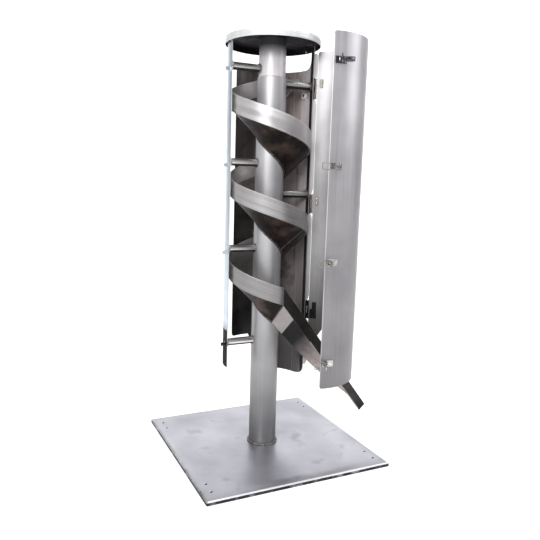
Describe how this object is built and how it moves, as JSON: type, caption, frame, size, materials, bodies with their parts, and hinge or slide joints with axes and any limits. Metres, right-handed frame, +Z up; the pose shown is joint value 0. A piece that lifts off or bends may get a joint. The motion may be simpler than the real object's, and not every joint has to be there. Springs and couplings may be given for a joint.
{
  "type": "spiral gravity separator",
  "caption": "Free-standing spiral gravity chute: banked helical flight round a column on a square plate, round cap, curved rear shell and hinged half-round door with toggle latches.",
  "frame": {"origin": "centre of the foot plate's underside, on the column's axis", "axes": "+Z up the column, -Y towards the open front, +X towards the door's hinge side and the discharge chute"},
  "size_m": [0.6192, 0.6369, 1.294],
  "materials": {
    "brushed_sheet": "brushed stainless sheet",
    "bright_sheet": "bright satin stainless",
    "worn_sheet": "worn mill-finish stainless",
    "latch_steel": "bright formed steel",
    "fittings": "satin steel"
  },
  "bodies": {
    "stand": {"base_plate": "brushed_sheet", "column": "brushed_sheet", "top_spigot": "bright_sheet", "top_cap": "bright_sheet", "rail_left": "bright_sheet", "rail_right": "bright_sheet", "rear_shell": "brushed_sheet", "standoff_left_1": "bright_sheet", "standoff_left_2": "bright_sheet", "standoff_left_3": "bright_sheet", "standoff_left_4": "bright_sheet", "standoff_right_1": "bright_sheet", "standoff_right_2": "bright_sheet", "standoff_right_3": "bright_sheet", "flight_upper": "worn_sheet", "flight_middle": "worn_sheet", "flight_lower": "worn_sheet", "guard_upper": "bright_sheet", "guard_middle": "bright_sheet", "guard_lower": "bright_sheet", "chute_floor": "worn_sheet", "chute_outer_wall": "worn_sheet", "rail_boss": "bright_sheet", "hinge_rail_leaf_1": "fittings", "hinge_rail_leaf_2": "fittings", "hinge_rail_leaf_3": "fittings", "hinge_pin_1": "fittings", "hinge_pin_2": "fittings", "hinge_pin_3": "fittings", "keeper_1": "fittings", "keeper_2": "fittings", "keeper_3": "fittings", "keeper_4": "fittings"},
    "door": {"door": "brushed_sheet", "hinge_door_leaf_1": "fittings", "hinge_door_leaf_2": "fittings", "hinge_door_leaf_3": "fittings", "latch_base_1": "fittings", "latch_base_2": "fittings", "latch_base_3": "fittings", "latch_base_4": "fittings", "latch_pin_1": "fittings", "latch_pin_2": "fittings", "latch_pin_3": "fittings", "latch_pin_4": "fittings"},
    "lever_1": {"latch_lever_1": "latch_steel"},
    "bail_1": {"latch_bail_1": "latch_steel"},
    "lever_2": {"latch_lever_2": "latch_steel"},
    "bail_2": {"latch_bail_2": "latch_steel"},
    "lever_3": {"latch_lever_3": "latch_steel"},
    "bail_3": {"latch_bail_3": "latch_steel"},
    "lever_4": {"latch_lever_4": "latch_steel"},
    "bail_4": {"latch_bail_4": "latch_steel"}
  },
  "joints": [
    {"name": "door_hinge", "type": "hinge", "parent": "stand", "child": "door", "pos_m": [0.14436, -0.02494, 0.77], "axis": [0, 0, 1], "range_deg": [-71.5, 93.5]},
    {"name": "lever_1_pivot", "type": "hinge", "parent": "door", "child": "lever_1", "pos_m": [0.05505, -0.29887, 1.193], "axis": [0, 0, -1], "range_deg": [-12, 96]},
    {"name": "bail_1_pivot", "type": "hinge", "parent": "lever_1", "child": "bail_1", "pos_m": [0.06352, -0.30192, 1.193], "axis": [0, 0, -1], "range_deg": [-97, 13]},
    {"name": "lever_2_pivot", "type": "hinge", "parent": "door", "child": "lever_2", "pos_m": [0.05505, -0.29887, 0.913], "axis": [0, 0, -1], "range_deg": [-100, 8]},
    {"name": "bail_2_pivot", "type": "hinge", "parent": "lever_2", "child": "bail_2", "pos_m": [0.0523, -0.30744, 0.913], "axis": [0, 0, -1], "range_deg": [-9, 101]},
    {"name": "lever_3_pivot", "type": "hinge", "parent": "door", "child": "lever_3", "pos_m": [0.05505, -0.29887, 0.648], "axis": [0, 0, -1], "range_deg": [-96, 12]},
    {"name": "bail_3_pivot", "type": "hinge", "parent": "lever_3", "child": "bail_3", "pos_m": [0.05291, -0.30761, 0.648], "axis": [0, 0, -1], "range_deg": [-13, 97]},
    {"name": "lever_4_pivot", "type": "hinge", "parent": "door", "child": "lever_4", "pos_m": [0.05505, -0.29887, 0.356], "axis": [0, 0, -1], "range_deg": [-104, 4]},
    {"name": "bail_4_pivot", "type": "hinge", "parent": "lever_4", "child": "bail_4", "pos_m": [0.05171, -0.30723, 0.356], "axis": [0, 0, -1], "range_deg": [-5, 105]}
  ],
  "couplings": [
    {"joint": "bail_1_pivot", "follows": "lever_1_pivot", "ratio": -1},
    {"joint": "bail_2_pivot", "follows": "lever_2_pivot", "ratio": -1},
    {"joint": "bail_3_pivot", "follows": "lever_3_pivot", "ratio": -1},
    {"joint": "bail_4_pivot", "follows": "lever_4_pivot", "ratio": -1}
  ]
}
